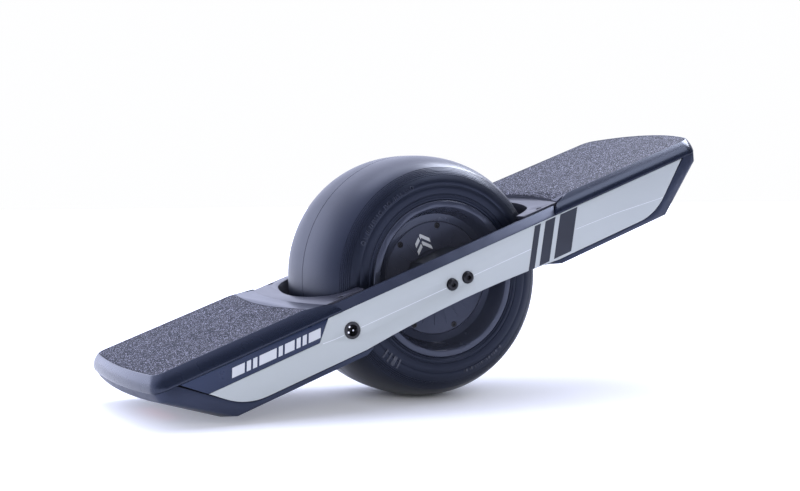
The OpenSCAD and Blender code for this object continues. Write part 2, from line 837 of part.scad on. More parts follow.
// One coil around every tooth
module stator_windings() {
    color("#b06a34") tilted() for (i = [0:teeth - 1]) rotate([0, i * 360 / teeth, 0]) difference() {
        translate([-coil_half, -stator_half - 5, coil_in]) cube([2 * coil_half, 2 * (stator_half + 5), coil_out - coil_in]);
        translate([-coil_half + leg_t, -stator_half - 0.3, coil_in - eps])
            cube([2 * (coil_half - leg_t), 2 * (stator_half + 0.3), coil_out - coil_in + 2 * eps]);
    }
}

module motor_cable() {
    y_bore = stator_half + 2 + cable_r + 1;
    color("#d07a20") tilted() {
        translate([0, y_bore, 0]) cylinder(r = cable_r, h = 24);
        translate([0, y_bore, 0]) sphere(r = cable_r);
        pin_y(cable_r, y_bore, cable_y);
        translate([0, cable_y, 0]) sphere(r = cable_r);
        translate([0, cable_y, cable_z]) cylinder(r = cable_r, h = -cable_z);
        translate([0, cable_y, cable_z]) sphere(r = cable_r);
        translate([0, cable_y, cable_z]) rotate([0, 90, 0]) cylinder(r = cable_r, h = box_x - 8);
    }
}

// Round plug in the controller box's wall
module motor_connector() {
    color("#16181c") tilted() cable_plug();
}

module cable_plug() {
    translate([box_x - 8, plug_y, cable_z]) rotate([0, 90, 0]) cylinder(r = 7.5, h = 7.8);
    translate([box_x - 1, plug_y, cable_z]) rotate([0, 90, 0]) cylinder(r = 5, h = box_wall + 8);
}

// Lead between the two boxes along the right rail, with a plug at each end
module battery_cable() {
    color("#c23a2e") tilted() mirror([0, 1, 0]) {
        cable_plug();
        mirror([1, 0, 0]) cable_plug();
        translate([-box_x + 7, cable_y, cable_z]) rotate([0, 90, 0]) cylinder(r = cable_r, h = 2 * box_x - 14);
    }
}

// ---- charge port and power button --------------------------------------------------------------

// Three-pole socket in the right rail near the tail
module charge_port() {
    color("#101114") tilted() translate([-port_x, 0, 0]) difference() {
        union() {
            pin_y(port_r, -half_w - 0.8, -rail_face - 0.05);
            pin_y(port_r - 1.4, -rail_face - 0.5, -rail_in + 3);
        }
        pin_y(6.6, -half_w - 2, -half_w + 12);
    }
}

module charge_port_pins() {
    color("#c8b070") tilted() translate([-port_x, 0, 0]) for (a = [90, 210, 330])
        translate([3.6 * cos(a), 0, 3.6 * sin(a)]) pin_y(1.1, -half_w + 5, -half_w + 12);
}

// Housing of the push button in the left rail near the nose
module power_switch() {
    color("#101114") tilted() translate([port_x, 0, 0]) difference() {
        union() {
            pin_y(port_r, rail_face + 0.05, half_w + 0.8);
            pin_y(port_r - 1.4, rail_in - 3, rail_face + 0.5);
        }
        pin_y(6 + running, half_w - 8, half_w + 2);
    }
}

module power_button() {
    color("#d8dadd") tilted() translate([port_x, 0, 0])
        pin_y(6, half_w - 8 + button_travel + 0.3, half_w + 1.2);
}

// ---- wheel -----------------------------------------------------------------------------------

// Casing of the tyre, open towards the rim
module tyre() {
    outer = tyre_curve(0, 18);
    inner = tyre_curve(tyre_wall, 12);
    bead = [[flange_r + 1, tyre_w / 2 - 0.5], [flange_r + 0.1, tyre_w / 2 - 1.5], [flange_r + 0.1, tyre_w / 2 - 5],
            [bead_r + 0.1, tyre_w / 2 - 6.5], [bead_r + 0.1, tyre_w / 2 - 18], [bead_r + 5, tyre_w / 2 - 19]];
    side = concat(outer, bead, [for (i = [12:-1:0]) inner[i]]);
    color("#23262f") tilted() spun() polygon(concat(side, [for (i = [len(side) - 2:-1:1]) [side[i][0], -side[i][1]]]));
}

// Barrel that carries the tyre and holds the motor, with a bowl on each side
module motor_shell() {
    lip = tyre_w / 2 - 0.5;
    half = [[shell_bore, 0], [shell_bore, stator_half + 14], [ledge_r, stator_half + 16], [ledge_r, cover_seat],
            [cover_r + fit, cover_seat], [cover_r + fit, cover_y - 0.5], [75.5, cover_y - 0.5],
            [flange_r - 9.5, lip - 2.5], [flange_r - 7.5, lip], [flange_r - 1, lip], [flange_r, lip - 1],
            [flange_r, lip - 4], [bead_r, lip - 6], [bead_r, lip - 20], [76, 50], [76, 0]];
    color("#1d2027") tilted() difference() {
        spun() polygon(concat(half, [for (i = [len(half) - 2:-1:1]) [half[i][0], -half[i][1]]]));
        translate([-valve_r, 0, 0]) pin_y(3 + fit, 40, tyre_w);
        for (m = [0, 1]) mirror([0, m, 0]) at_cover_screws() pin_y(1.9, cover_seat - 10, cover_y);
    }
}

module flux_ring() {
    color("#54575e") tilted() difference() {
        pin_y(shell_bore - 0.05, -stator_half - 3, stator_half + 3);
        pin_y(magnet_r + magnet_t + 0.35, -stator_half - 5, stator_half + 5);
    }
}

module magnets() {
    w = 0.72 * 360 / magnet_count * PI / 180 * magnet_r;
    color("#b9bcc2") tilted() for (i = [0:magnet_count - 1]) rotate([0, 360 * i / magnet_count, 0])
        translate([-w / 2, -stator_half, magnet_r]) cube([w, 2 * stator_half, magnet_t]);
}

module at_cover_screws() {
    for (i = [0:cover_screws_n - 1]) rotate([0, 86 + i * 360 / cover_screws_n, 0])
        translate([cover_screw_r, 0, 0]) children();
}

// Cover with a bearing seat, side y > 0
module motor_cover() {
    difference() {
        spun() polygon([
            [15 + fit, cover_y - 1], [15 + fit, cover_seat - 1], [18, cover_seat - 1], [18, cover_seat - 1.5],
            [bearing_r + fit / 2, cover_seat - 1.5], [bearing_r + fit / 2, cover_seat - 1.5 - bearing_w],
            [bearing_r + 4, cover_seat - 1.5 - bearing_w], [bearing_r + 4, cover_seat - 6],
            [bearing_r + 9, cover_seat + 0.5], [52, cover_seat + 0.5], [52, cover_seat + 0.05],
            [cover_r, cover_seat + 0.05], [cover_r, cover_y - 1], [cover_r - 1, cover_y], [34, cover_y], [32, cover_y - 1]]);
        at_cover_screws() pin_y(2, cover_seat - 5, cover_y + eps);
        at_cover_screws() pin_y(3.7, cover_y - 2.2, cover_y + eps);
    }
}

module right_motor_cover() {
    color("#23262d") tilted() mirror([0, 1, 0]) motor_cover();
}

module left_motor_cover() {
    color("#23262d") tilted() motor_cover();
}

module cover_screws() {
    color("#0e0f12") tilted() for (m = [0, 1]) mirror([0, m, 0]) at_cover_screws() difference() {
        union() {
            pin_y(3.5, cover_y - 2.1, cover_y - 0.2);
            pin_y(1.8, cover_seat - 9, cover_y - 2);
        }
        translate([0, cover_y - 1.4, 0]) rotate([-90, 0, 0]) cylinder(r = 1.6, h = 3, $fn = 6);
    }
}

// Races and balls of the two bearings
module bearings() {
    ball_r = 4;
    mid = (axle_r + bearing_r) / 2;
    y0 = bearing_y;
    color("#a9acb2") tilted() for (m = [0, 1]) mirror([0, m, 0]) {
        difference() {
            pin_y(bearing_r, y0, y0 + bearing_w);
            pin_y(mid + 2.5, y0 - eps, y0 + bearing_w + eps);
            ball_track(mid, ball_r, y0 + bearing_w / 2);
        }
        difference() {
            pin_y(mid - 2.5, y0, y0 + bearing_w);
            pin_y(axle_r + running, y0 - eps, y0 + bearing_w + eps);
            ball_track(mid, ball_r, y0 + bearing_w / 2);
        }
        for (i = [0:7]) rotate([0, i * 45, 0]) translate([mid, y0 + bearing_w / 2, 0]) sphere(r = ball_r, $fn = 48);
    }
}

module ball_track(mid, r, y) {
    translate([0, y, 0]) rotate([90, 0, 0]) rotate_extrude() translate([mid, 0]) circle(r = r + 0.05, $fn = 48);
}

module axle_seals() {
    color("#101012") tilted() for (m = [0, 1]) mirror([0, m, 0]) difference() {
        pin_y(15, cover_seat - 0.9, cover_y - 1);
        pin_y(axle_r + running, cover_seat - 2, cover_y);
    }
}

module valve_stem() {
    color("#b89b52") tilted() translate([-valve_r, 0, 0]) difference() {
        pin_y(3, 46, 78);
        pin_y(1, 45, 79);
    }
}

module valve_cap() {
    color("#101114") tilted() translate([-valve_r, 0, 0]) difference() {
        pin_y(3.6, 73.6, 80);
        pin_y(3.05, 72, 78.4);
    }
}

right_rail();
left_rail();
right_rail_guard();
left_rail_guard();
right_badge_panel();
left_badge_panel();
front_bumper();
rear_bumper();
front_skid();
rear_skid();
front_light_lens();
rear_light_lens();
front_light_board();
rear_light_board();
front_footpad();
rear_footpad();
front_grip_tape();
rear_grip_tape();
footpad_sensor();
footpad_screws();
front_wheel_surround();
rear_wheel_surround();
surround_screws();
battery_case();
battery_lid();
battery_seal();
battery_cells();
battery_board();
controller_case();
controller_lid();
controller_seal();
controller_board();
lid_screws();
case_screws();
skid_screws();
axle();
right_axle_block();
left_axle_block();
axle_bolts();
stator_core();
stator_windings();
motor_cable();
motor_connector();
battery_cable();
charge_port();
charge_port_pins();
power_switch();
power_button();
tyre();
motor_shell();
flux_ring();
magnets();
right_motor_cover();
left_motor_cover();
cover_screws();
bearings();
axle_seals();
valve_stem();
valve_cap();
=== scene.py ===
import json
import math
import random

import bmesh
import bpy
from mathutils import Matrix, Vector


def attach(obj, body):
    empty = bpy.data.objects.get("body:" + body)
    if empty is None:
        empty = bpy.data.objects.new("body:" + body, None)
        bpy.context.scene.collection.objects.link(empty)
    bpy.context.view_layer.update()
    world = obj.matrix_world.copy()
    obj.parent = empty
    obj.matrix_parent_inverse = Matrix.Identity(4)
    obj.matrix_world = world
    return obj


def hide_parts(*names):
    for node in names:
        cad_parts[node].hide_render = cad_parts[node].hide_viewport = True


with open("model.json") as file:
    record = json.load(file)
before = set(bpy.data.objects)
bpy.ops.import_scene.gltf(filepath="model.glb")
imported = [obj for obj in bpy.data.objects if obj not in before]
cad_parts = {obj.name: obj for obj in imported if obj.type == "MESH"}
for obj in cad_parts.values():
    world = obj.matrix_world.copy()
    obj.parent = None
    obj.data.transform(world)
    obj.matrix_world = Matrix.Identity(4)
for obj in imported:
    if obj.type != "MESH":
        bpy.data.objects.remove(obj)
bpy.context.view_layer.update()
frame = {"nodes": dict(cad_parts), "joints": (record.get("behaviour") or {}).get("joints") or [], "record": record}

# Lengths below are millimetres in the deck's own level frame: x towards the nose, y across,
# z square to the deck, origin at the axle's centre. BOARD takes them to the row frame in metres.
RECORD = frame["record"]
lean = next(m for m in RECORD["mounts"] if m["name"] == "tail_underside")["axis"]
TILT = math.atan2(lean[0], -lean[2])
AXLE = Vector(next(j for j in frame["joints"] if j["name"] == "wheel_spin")["pos_m"])
BOARD = Matrix.Translation(AXLE) @ Matrix.Rotation(-TILT, 4, "Y") @ Matrix.Scale(0.001, 4)
SLOT = {s["node"]: s["material_slot"] for s in RECORD["subparts"]}
BODY = {n: b for b, names in RECORD["behaviour"]["bodies"].items() for n in names}


# ---- camera, light and floor ------------------------------------------------------------------

# Solved from the photograph: the camera's place from the axle's centre in metres, and its direction.
CAMERA_LENS, CAMERA_SENSOR = 63.18, 36.0
CAMERA_FROM_AXLE = Vector((-0.8058, -1.4973, 0.1207))
CAMERA_TOWARDS = Vector((0.4664, 0.88315, -0.05024))

scene = bpy.context.scene
camera_data = bpy.data.cameras.new("camera")
camera_data.lens, camera_data.sensor_width = CAMERA_LENS, CAMERA_SENSOR
camera_data.clip_start, camera_data.clip_end = 0.05, 60
camera = bpy.data.objects.new("camera", camera_data)
camera.location = AXLE + CAMERA_FROM_AXLE
camera.rotation_euler = CAMERA_TOWARDS.to_track_quat("-Z", "Y").to_euler()
scene.collection.objects.link(camera)
scene.camera = camera
scene.view_settings.view_transform = "Standard"

# The camera sees plain near-white. Light and reflections come from a soft gradient that is bright
# on the side of BACKDROP and dim on the other.
BACKDROP = (-0.35, 0.8, 0.48)
BACKDROP_SPAN = (-0.3, 0.85)
BACKDROP_LEVEL = (0.12, 2.15)
BACKDROP_COLOUR = (0.73, 0.77, 1.0, 1)
SEEN_COLOUR = (0.992, 0.994, 1.0, 1)


def set_range(node, taken, given):
    """Sets what a map range node takes in and gives out."""
    node.inputs["From Min"].default_value, node.inputs["From Max"].default_value = taken
    node.inputs["To Min"].default_value, node.inputs["To Max"].default_value = given


world = bpy.data.worlds.new("studio")
world.use_nodes = True
w_nodes, w_links = world.node_tree.nodes, world.node_tree.links
sky = w_nodes["Background"]
towards = w_nodes.new("ShaderNodeVectorMath")
towards.operation = "DOT_PRODUCT"
towards.inputs[1].default_value = BACKDROP
w_links.new(w_nodes.new("ShaderNodeTexCoord").outputs["Generated"], towards.inputs[0])
level = w_nodes.new("ShaderNodeMapRange")
level.interpolation_type = "SMOOTHSTEP"
set_range(level, BACKDROP_SPAN, BACKDROP_LEVEL)
w_links.new(towards.outputs["Value"], level.inputs["Value"])
sky.inputs["Color"].default_value = BACKDROP_COLOUR
w_links.new(level.outputs["Result"], sky.inputs["Strength"])
seen = w_nodes.new("ShaderNodeBackground")
seen.inputs["Color"].default_value = SEEN_COLOUR
shown = w_nodes.new("ShaderNodeMixShader")
w_links.new(w_nodes.new("ShaderNodeLightPath").outputs["Is Camera Ray"], shown.inputs["Fac"])
w_links.new(sky.outputs["Background"], shown.inputs[1])
w_links.new(seen.outputs["Background"], shown.inputs[2])
w_links.new(shown.outputs["Shader"], w_nodes["World Output"].inputs["Surface"])
scene.world = world


def area_light(name, place, aim, size, power, colour, reflected=True, lit=True):
    """Soft box in metres and watts. It can be kept out of reflections, or be a card seen only in them."""
    data = bpy.data.lights.new(name, "AREA")
    data.shape, data.size, data.size_y = "RECTANGLE", size[0], size[1]
    data.energy, data.color = power, colour
    light = bpy.data.objects.new(name, data)
    light.location = place
    light.rotation_euler = (Vector(aim) - Vector(place)).to_track_quat("-Z", "Y").to_euler()
    light.visible_camera = False
    light.visible_glossy, light.visible_diffuse = reflected, lit
    scene.collection.objects.link(light)


area_light("back_left_box", place=(-1.45, 2.1, 0.75), aim=(-0.1, 0, 0.12), size=(1.8, 1.4), power=7.5,
           colour=(0.74, 0.79, 1.0))
area_light("top_box", place=(0.1, 0.7, 1.9), aim=(0, 0, 0.12), size=(1.6, 1.0), power=14,
           colour=(0.84, 0.87, 1.0))
area_light("right_box", place=(2.0, 0.5, 1.0), aim=(0, 0, 0.05), size=(1.2, 1.0), power=14,
           colour=(0.95, 0.97, 1.0), reflected=False)
area_light("front_box", place=(-1.0, -1.7, 0.7), aim=(-0.1, 0, 0.1), size=(1.6, 0.9), power=19,
           colour=(1.0, 0.99, 0.95), reflected=False)
area_light("tyre_card", place=(1.2, 0.2, 1.62), aim=(0, -0.05, 0.22), size=(1.3, 1.0), power=75,
           colour=(0.88, 0.91, 1.0), lit=False)
area_light("nose_card", place=(0.95, -1.45, 1.9), aim=(0.3, -0.1, 0.25), size=(1.1, 1.0), power=15,
           colour=(0.84, 0.89, 1.0), lit=False)


# ---- materials --------------------------------------------------------------------------------

def material(name, colour, rough, metal=0.0, shift=0.12, patch=14, rough_shift=0.05, grain=900,
             relief=0.02, coat=0.0, fleck_and_glint=None, stretch=(1, 1, 1), specular=0.5, tint=(1, 1, 1)):
    """Procedural finish: cloudy colour, uneven gloss and a fine surface grain, with optional flecks whose lightest
    ones are painted glints.

    shift is how far the colour wanders, patch the density of its clouds, rough_shift how far the gloss
    wanders, grain the density of the surface grain and relief its height in millimetres. fleck is
    (density, darkest colour, lightest colour); the lightest flecks are painted glints of the grit.
    """
    made = bpy.data.materials.new(name)
    made.use_nodes = True
    nodes, links = made.node_tree.nodes, made.node_tree.links
    shader = nodes["Principled BSDF"]
    shader.inputs["Metallic"].default_value = metal
    shader.inputs["Coat Weight"].default_value = coat
    shader.inputs["Coat Roughness"].default_value = 0.08
    shader.inputs["Specular IOR Level"].default_value = specular
    shader.inputs["Specular Tint"].default_value = (*tint, 1)
    made.diffuse_color = (*colour, 1)

    place = nodes.new("ShaderNodeTexCoord")
    scaled = nodes.new("ShaderNodeMapping")
    scaled.inputs["Scale"].default_value = stretch
    links.new(place.outputs["Object"], scaled.inputs["Vector"])

    def noise(scale, detail, source=scaled):
        texture = nodes.new("ShaderNodeTexNoise")
        texture.inputs["Scale"].default_value = scale
        texture.inputs["Detail"].default_value = detail
        links.new(source.outputs[0], texture.inputs["Vector"])
        return texture.outputs["Fac"]

    def ramp(source, stops):
        made_ramp = nodes.new("ShaderNodeValToRGB")
        elements = made_ramp.color_ramp.elements
        while len(elements) < len(stops):
            elements.new(0.5)
        for element, (at, value) in zip(elements, stops):
            element.position, element.color = at, (*value, 1)
        links.new(source, made_ramp.inputs["Fac"])
        return made_ramp.outputs["Color"]

    dark = tuple(c * (1 - shift) for c in colour)
    light = tuple(min(1, c * (1 + shift) + 0.002) for c in colour)
    tone = ramp(noise(patch, 5), [(0.35, dark), (0.65, light)])
    # Flecks run from dark grains to light ones; the lightest are painted glints of grit.
    if fleck_and_glint:
        cells = nodes.new("ShaderNodeTexVoronoi")
        cells.inputs["Scale"].default_value = fleck_and_glint[0]
        links.new(scaled.outputs[0], cells.inputs["Vector"])
        apart = nodes.new("ShaderNodeSeparateColor")
        links.new(cells.outputs["Color"], apart.inputs["Color"])
        grains_and_glints = ramp(apart.outputs["Red"],
                      [(0.0, fleck_and_glint[1]), (0.45, colour), (0.82, light), (0.9, fleck_and_glint[2])])
        blend = nodes.new("ShaderNodeMix")
        blend.data_type, blend.blend_type = "RGBA", "MULTIPLY"
        blend.inputs["Factor"].default_value = 0.5
        links.new(grains_and_glints, blend.inputs["A"])
        links.new(ramp(noise(patch, 5), [(0.3, (0.7, 0.7, 0.72)), (0.7, (1, 1, 1))]), blend.inputs["B"])
        tone = blend.outputs["Result"]
    links.new(tone, shader.inputs["Base Color"])

    gloss = nodes.new("ShaderNodeMapRange")
    set_range(gloss, (0.3, 0.7), (max(0.03, rough - rough_shift), min(1, rough + rough_shift)))
    links.new(noise(patch * 4, 6), gloss.inputs["Value"])
    links.new(gloss.outputs["Result"], shader.inputs["Roughness"])

    bump = nodes.new("ShaderNodeBump")
    bump.inputs["Strength"].default_value = 0.6
    bump.inputs["Distance"].default_value = relief / 1000
    links.new(noise(grain, 3), bump.inputs["Height"])
    links.new(bump.outputs["Normal"], shader.inputs["Normal"])
    return made


NAVY_BLACK = (0.006, 0.009, 0.020)
# Bluish tint of the dark finishes' reflections: paints the studio light's blue into them.
BLUISH = (0.66, 0.74, 1.0)
LOOKS = {
    "rail_metal": dict(colour=(0.019, 0.023, 0.040), rough=0.36, metal=0.2, relief=0.015, tint=BLUISH),
    "guard_plastic": dict(colour=(0.39, 0.42, 0.435), rough=0.36, shift=0.02, patch=5, relief=0.012,
                          specular=0.4),
    "badge_plastic": dict(colour=(0.006, 0.012, 0.036), rough=0.3, coat=0.1, shift=0.1, patch=6,
                          relief=0.01, tint=BLUISH),
    "bumper_plastic": dict(colour=NAVY_BLACK, rough=0.27, rough_shift=0.012, shift=0.05, coat=0.1, patch=6,
                           relief=0.003, tint=BLUISH),
    "skid_plastic": dict(colour=(0.013, 0.017, 0.034), rough=0.44, patch=20, grain=1500, relief=0.03,
                         tint=BLUISH),
    "lens_white": dict(colour=(0.62, 0.65, 0.7), rough=0.12, coat=0.6, shift=0.04, relief=0.01),
    "lens_red": dict(colour=(0.32, 0.012, 0.018), rough=0.12, coat=0.6, shift=0.15, relief=0.01),
    "circuit_board": dict(colour=(0.012, 0.10, 0.035), rough=0.45, shift=0.3, patch=120),
    "pad_plastic": dict(colour=(0.020, 0.022, 0.036), rough=0.33, rough_shift=0.012, shift=0.03, patch=5,
                        grain=1600, relief=0.006, tint=BLUISH),
    # The grip's lightest flecks are painted glints of its grit.
    "grip": dict(colour=(0.013, 0.013, 0.019), rough=0.7, rough_shift=0.1, patch=25, grain=1500,
                 relief=0.25, specular=0.25, tint=BLUISH,
                 fleck_and_glint=(1150, (0.001, 0.001, 0.002), (0.34, 0.34, 0.42))),
    "sensor_film": dict(colour=(0.45, 0.26, 0.06), rough=0.35, patch=60),
    # Its tint also paints the light's blue into its reflections.
    "surround_plastic": dict(colour=(0.026, 0.027, 0.040), rough=0.33, rough_shift=0.012, shift=0.02,
                             patch=4, grain=1600, relief=0.005, tint=(0.86, 0.88, 1.0)),
    "case_plastic": dict(colour=(0.014, 0.015, 0.019), rough=0.5, grain=1500, relief=0.06),
    "seal_rubber": dict(colour=(0.12, 0.02, 0.012), rough=0.6, relief=0.04),
    "cell_wrap": dict(colour=(0.03, 0.12, 0.36), rough=0.28, shift=0.08, relief=0.01),
    "black_steel": dict(colour=(0.010, 0.010, 0.013), rough=0.3, metal=0.5, patch=200, relief=0.02),
    "bright_steel": dict(colour=(0.42, 0.43, 0.46), rough=0.27, metal=1.0, patch=150, relief=0.02),
    "block_metal": dict(colour=(0.045, 0.05, 0.062), rough=0.38, metal=0.6, grain=1800, relief=0.03),
    "core_iron": dict(colour=(0.14, 0.14, 0.15), rough=0.45, metal=0.9, patch=90, stretch=(1, 12, 1)),
    "copper": dict(colour=(0.50, 0.19, 0.07), rough=0.3, metal=0.9, patch=160, stretch=(1, 10, 1)),
    "cable_orange": dict(colour=(0.52, 0.14, 0.012), rough=0.42, relief=0.03),
    "cable_red": dict(colour=(0.40, 0.02, 0.015), rough=0.42, relief=0.03),
    "connector_plastic": dict(colour=(0.010, 0.010, 0.013), rough=0.35, grain=1500, relief=0.03),
    "contact_brass": dict(colour=(0.82, 0.83, 0.86), rough=0.22, metal=1.0, patch=180, relief=0.01),
    "button_metal": dict(colour=(0.5, 0.51, 0.54), rough=0.3, metal=0.9, patch=200, relief=0.02),
    "tyre_rubber": dict(colour=(0.005, 0.0068, 0.0145), rough=0.35, rough_shift=0.02, patch=9, grain=1100,
                        relief=0.03, specular=0.38, tint=BLUISH),
    "hub_metal": dict(colour=(0.030, 0.034, 0.052), rough=0.25, rough_shift=0.03, coat=0.2, patch=8,
                      relief=0.004, tint=BLUISH),
    "magnet_metal": dict(colour=(0.55, 0.55, 0.57), rough=0.2, metal=1.0, patch=90),
    "cap_plastic": dict(colour=(0.012, 0.012, 0.015), rough=0.4, relief=0.03),
}
FINISH = {slot: material(slot, **look) for slot, look in LOOKS.items()}
COVER = material("cover_paint", (0.034, 0.037, 0.055), 0.34, patch=12, grain=1500, relief=0.02, tint=BLUISH)
MARK_DARK = material("mark_dark", (0.010, 0.013, 0.026), 0.35, patch=30, relief=0.01)
MARK_PALE = material("mark_pale", (0.50, 0.52, 0.56), 0.4, shift=0.03, patch=30, relief=0.01)
# Lighter than the tyre's rubber: paints the highlights that the tyre's moulded marks catch.
RAISED_HIGHLIGHT = material("raised_rubber_painted_highlight", (0.030, 0.035, 0.055), 0.26, patch=30, relief=0.01)
# Pale colour of the crease strips: a painted highlight along each guard's bend.
CREASE_HIGHLIGHT = material("crease_painted_highlight", (0.62, 0.65, 0.70), 0.3, shift=0.02, patch=30, relief=0.01)

for node, obj in frame["nodes"].items():
    finish = COVER if node.endswith("motor_cover") else FINISH[SLOT[node]]
    obj.data.materials.clear()
    obj.data.materials.append(finish)


# ---- mesh helpers -----------------------------------------------------------------------------

def piece(name, bm, like, finish=None, stands_for=(), smooth=32):
    """Turns a bmesh in metres into a closed, outward-facing piece that rides with the node it is like."""
    bmesh.ops.recalc_face_normals(bm, faces=bm.faces)
    mesh = bpy.data.meshes.new(name)
    bm.to_mesh(mesh)
    bm.free()
    mesh.materials.append(finish or FINISH[SLOT[like]])
    mesh.shade_smooth()
    mesh.set_sharp_from_angle(angle=math.radians(smooth))
    obj = bpy.data.objects.new(name, mesh)
    scene.collection.objects.link(obj)
    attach(obj, BODY[like])
    if stands_for:
        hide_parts(*stands_for)
    return obj


def grid_faces(bm, rows, closed_rows, closed_columns):
    """Joins rows of vertices by quads, and the last to the first where that direction is closed."""
    count = len(rows[0])
    for i in range(len(rows) if closed_rows else len(rows) - 1):
        a, b = rows[i], rows[(i + 1) % len(rows)]
        for j in range(count if closed_columns else count - 1):
            k = (j + 1) % count
            bm.faces.new((a[j], a[k], b[k], b[j]))


def revolved(bm, outline, segments):
    """Closed outline of (radius, y) turned round the axle."""
    rows = []
    for i in range(segments):
        a = 2 * math.pi * i / segments
        rows.append([bm.verts.new(BOARD @ Vector((r * math.cos(a), y, r * math.sin(a))))
                     for r, y in outline])
    grid_faces(bm, rows, True, True)


def plate(bm, outline, y, lift):
    """Thin plate with an (x, z) outline on the side face at y, standing lift proud of it."""
    layers = [[bm.verts.new(BOARD @ Vector((x, y + d, z))) for x, z in outline] for d in (0, lift)]
    bm.faces.new(layers[0])
    bm.faces.new(list(reversed(layers[1])))
    grid_faces(bm, [layers[0], layers[1]], False, True)


WELD = 2e-6                                       # metres
FLAT_ANGLE, EDGE_ANGLE = math.radians(0.4), math.radians(28)
SKID_END, FLUSH_FROM, FLUSH_RISE = 330, 10, 14    # where along the board and how high flush acts


def refined(node, width, sink=0, flush=0):
    """Stands for a CAD node: the same solid with its sharp edges rounded by width.

    sink moves its outer side faces in, so that marks lie on them inside the board's width. flush carries
    the upper edge of a skid's end out to the bumper above it.
    """
    bm = bmesh.new()
    bm.from_mesh(frame["nodes"][node].data)
    bmesh.ops.remove_doubles(bm, verts=bm.verts, dist=WELD)
    bmesh.ops.dissolve_limit(bm, angle_limit=FLAT_ANGLE, verts=bm.verts, edges=bm.edges)
    if flush:
        for v in bm.verts:
            p = BOARD.inverted() @ v.co
            if abs(p.x) > SKID_END and p.z > FLUSH_FROM:
                out = flush * min(1.0, (p.z - FLUSH_FROM) / FLUSH_RISE) ** 2
                v.co = BOARD @ Vector((p.x + math.copysign(out, p.x), p.y, p.z))
    if sink:
        for v in bm.verts:
            if abs(v.co.y) > (HALF_W - 0.05) / 1000:
                v.co.y -= math.copysign(sink / 1000, v.co.y)
    sharp = [e for e in bm.edges if e.is_manifold and e.calc_face_angle(0) > EDGE_ANGLE]
    bmesh.ops.bevel(bm, geom=sharp, offset=width / 1000, segments=2, profile=0.5, affect="EDGES",
                    clamp_overlap=True)
    return piece(node + "_shell", bm, node, stands_for=(node,))


# ---- tyre -------------------------------------------------------------------------------------

# The tread's section is a superellipse with exponent SQUARE from the crown, at TYRE_R, down to SIDE_R.
TYRE_R, TYRE_HALF, SIDE_R, SQUARE = 144.0, 82.5, 105.0, 2.6
CASING_WALL = 8.0
TYRE_SEGMENTS = 256
CURVE_STEPS, STATION = 2000, 3.0                  # steps of the measured curve, gap between its points
SPLIT_GROOVE = [(0.0, 0.45), (0.3, 0.45), (0.55, 0.0)]            # (arc length, depth)
RIB_GROOVE = [(0.0, 0.0), (0.35, 0.42), (0.8, 0.42), (1.15, 0.0)]
RIBS_FROM, RIB_PITCH, RIB_COUNT = 74.0, 2.3, 6
RING_GROOVE = [(0.0, 0.0), (0.5, 0.3), (1.2, 0.3), (1.7, 0.0)]
RING_AT = 97.0
# Side of the tyre from the tread's edge over two rim lines and the bead to the inside: (radius, y).
BEAD = [(SIDE_R, TYRE_HALF), (101.5, 82.35), (99.4, 82.1), (98.8, 81.5), (98.0, 81.5), (97.4, 82.3),
        (95.2, 82.3), (94.4, 81.4), (93.4, 81.2), (92.6, 81.2), (91.6, 80.2), (91.6, 77.5), (86.1, 76.0),
        (86.1, 64.5), (91.0, 63.5)]


def crown(t, a):
    """Point of the tyre's outer curve, shrunk by t, at angle a from the crown in degrees."""
    c, s = math.cos(math.radians(a)), math.sin(math.radians(a))
    return (SIDE_R + (TYRE_R - t - SIDE_R) * max(c, 0) ** (2 / SQUARE),
            (TYRE_HALF - t) * max(s, 0) ** (2 / SQUARE))


dense = [crown(0, 90 * i / CURVE_STEPS) for i in range(CURVE_STEPS + 1)]
run = [0.0]
for p, q in zip(dense, dense[1:]):
    run.append(run[-1] + math.dist(p, q))


def on_tread(s):
    """Point and outward direction of the tread's curve at arc length s from the crown."""
    i = min(max(next((k for k, v in enumerate(run) if v >= s), CURVE_STEPS), 1), CURVE_STEPS - 1)
    (r0, y0), (r1, y1) = dense[i - 1], dense[i + 1]
    d = math.hypot(r1 - r0, y1 - y0)
    return dense[i], ((y1 - y0) / d, -(r1 - r0) / d)


def tyre_side():
    """Half outline of the tyre from the crown to the inside of the casing, y > 0."""
    grooves = list(SPLIT_GROOVE)
    for k in range(RIB_COUNT):
        grooves += [(RIBS_FROM + RIB_PITCH * k + s, depth) for s, depth in RIB_GROOVE]
    grooves += [(RING_AT + s, depth) for s, depth in RING_GROOVE]
    taken = [s for s, _ in grooves]
    between = [(STATION * k, 0.0) for k in range(1, int(run[-1] / STATION))]
    stations = grooves + [(s, depth) for s, depth in between if min(abs(s - t) for t in taken) > 1.0]
    points = []
    for s, depth in sorted(stations):
        (r, y), (nr, ny) = on_tread(s)
        points.append((r - nr * depth, y - ny * depth))
    return points + BEAD + [crown(CASING_WALL, 90 * i / 14) for i in range(14, -1, -1)]


def both_sides(half):
    """Closes a half outline that starts and ends on the centre plane with its mirror image."""
    return half + [(r, -y) for r, y in reversed(half) if abs(y) > 1e-6]


bm = bmesh.new()
revolved(bm, both_sides(tyre_side()), TYRE_SEGMENTS)
piece("tyre_casing", bm, "tyre", stands_for=("tyre",), smooth=38)


def wall_y(r):
    """Half width of the tyre's side at radius r."""
    c = min(1.0, max(0.0, (r - SIDE_R) / (TYRE_R - SIDE_R)))
    a = math.acos(c ** (SQUARE / 2))
    return TYRE_HALF * math.sin(a) ** (2 / SQUARE)


MARK_SINK = 0.8                                   # how far a mark's root lies under the wall


